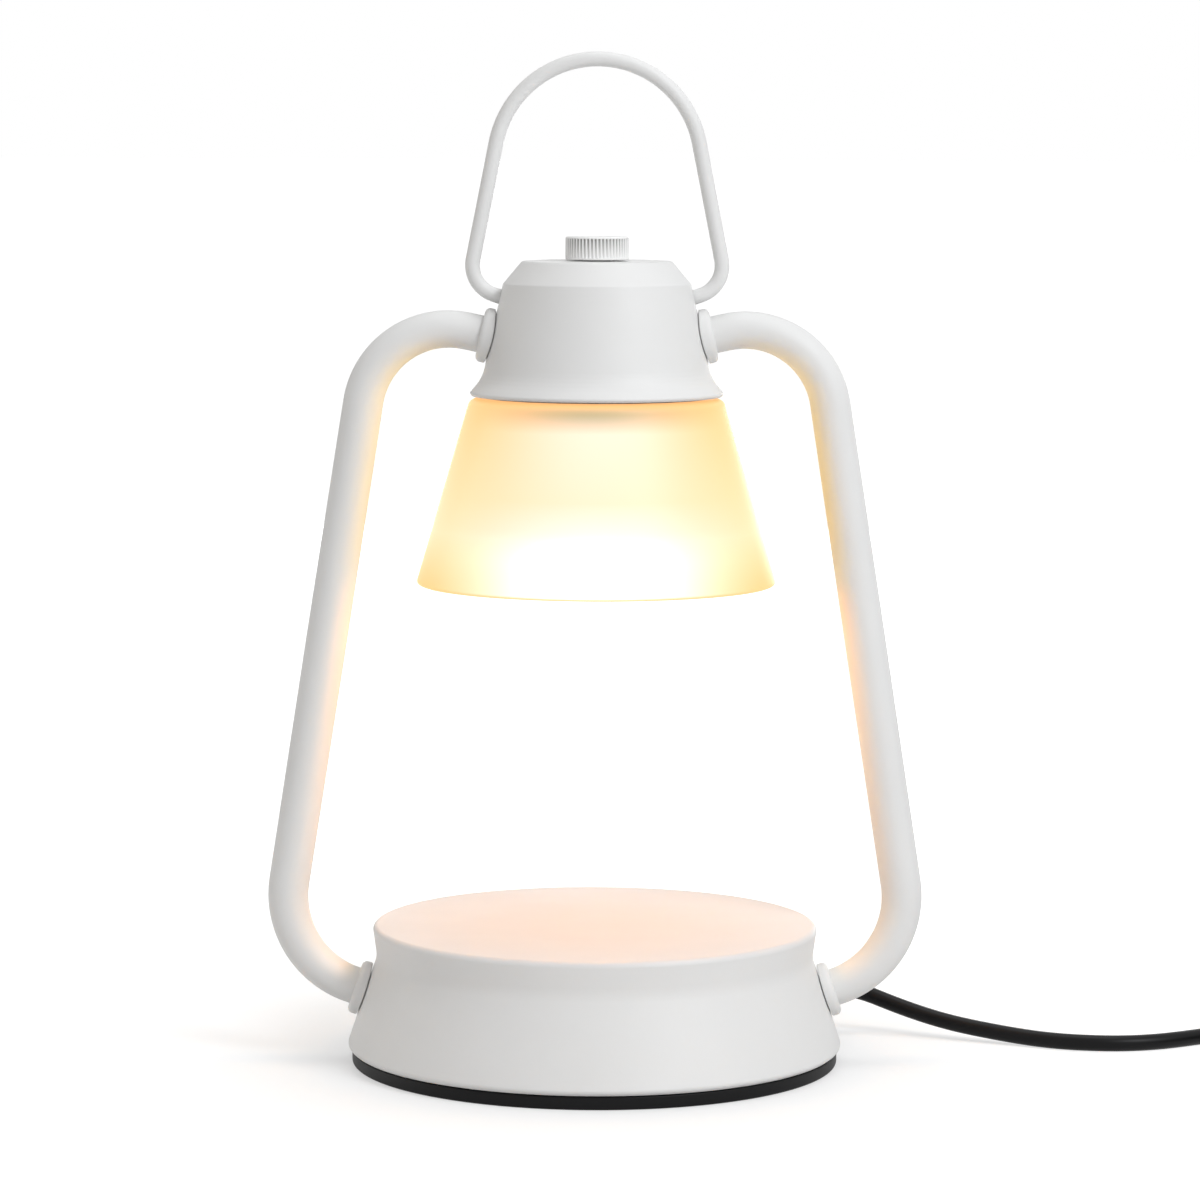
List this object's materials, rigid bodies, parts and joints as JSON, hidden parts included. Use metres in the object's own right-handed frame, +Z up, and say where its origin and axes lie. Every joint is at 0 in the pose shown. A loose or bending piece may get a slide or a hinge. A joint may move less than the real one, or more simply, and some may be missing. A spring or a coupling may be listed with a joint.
{
  "type": "candle warmer lamp",
  "caption": "Lantern-shaped lamp that melts a jar candle from above: round base, two bent arms, glass shade, rotary dimmer and hinged wire handle.",
  "frame": {"origin": "centre of the foot ring's underside, on the table", "axes": "+Z up, +X to the lamp's right with both arms in the XZ plane, +Y to its back, which is the side that the cord leaves on"},
  "size_m": [0.4308, 0.1502, 0.3065],
  "materials": {
    "white_paint": "matte white powder coat with a very fine texture",
    "black_rubber": "satin black",
    "zinc_steel": "zinc plated",
    "cast_iron": "as cast",
    "nylon": "moulded",
    "brass": "turned",
    "frosted_glass": "frosted cream glass, lit from inside",
    "silicone": "soft translucent white",
    "ceramic": "unglazed",
    "mirror_coat": "metal-coated glass",
    "clear_glass": "clear, with a faint warm tint",
    "black_plastic": "moulded"
  },
  "bodies": {
    "lamp": {"base_shell": "white_paint", "foot_ring": "black_rubber", "base_plate": "zinc_steel", "base_screw_1": "zinc_steel", "base_screw_2": "zinc_steel", "base_screw_3": "zinc_steel", "base_screw_4": "zinc_steel", "base_weight": "cast_iron", "weight_bolt": "zinc_steel", "terminal_block": "nylon", "terminal_screw_1": "brass", "terminal_screw_2": "brass", "cord_clamp": "nylon", "clamp_screw_1": "zinc_steel", "clamp_screw_2": "zinc_steel", "strain_relief": "black_rubber", "inner_cord": "black_rubber", "right_arm": "white_paint", "collar_base_right": "white_paint", "collar_head_right": "white_paint", "arm_nut_base_right": "zinc_steel", "arm_nut_head_right": "zinc_steel", "left_arm": "white_paint", "collar_base_left": "white_paint", "collar_head_left": "white_paint", "arm_nut_base_left": "zinc_steel", "arm_nut_head_left": "zinc_steel", "head_shell": "white_paint", "glass_shade": "frosted_glass", "shade_ring": "zinc_steel", "shade_gasket": "silicone", "holder_plate": "zinc_steel", "plate_screw_1": "zinc_steel", "plate_screw_2": "zinc_steel", "holder_sleeve": "zinc_steel", "lamp_holder": "ceramic", "holder_screw_1": "zinc_steel", "holder_screw_2": "zinc_steel", "bulb_reflector": "mirror_coat", "bulb_lens": "clear_glass", "bulb_capsule": "clear_glass", "bulb_base": "ceramic", "dimmer_module": "black_plastic", "dimmer_washer": "zinc_steel", "dimmer_nut": "brass", "lamp_lead": "black_rubber", "switched_lead": "black_rubber", "power_cord_coil": "black_rubber", "power_cord": "black_rubber", "power_cord_tail": "black_rubber", "cord_tie": "black_plastic", "plug_body": "black_rubber", "plug_pin_left": "zinc_steel", "plug_pin_right": "zinc_steel"},
    "handle": {"bail_handle": "white_paint", "bail_washer_right": "zinc_steel", "bail_washer_left": "zinc_steel"},
    "knob": {"dimmer_knob": "white_paint", "dimmer_shaft": "brass"}
  },
  "joints": [
    {"name": "handle_hinge", "type": "hinge", "parent": "lamp", "child": "handle", "pos_m": [0, 0, 0.23285], "axis": [1, 0, 0], "range_deg": [-90, 90]},
    {"name": "knob_turn", "type": "hinge", "parent": "lamp", "child": "knob", "pos_m": [0, 0, 0.2478], "axis": [0, 0, 1], "range_deg": [0, 300]}
  ]
}
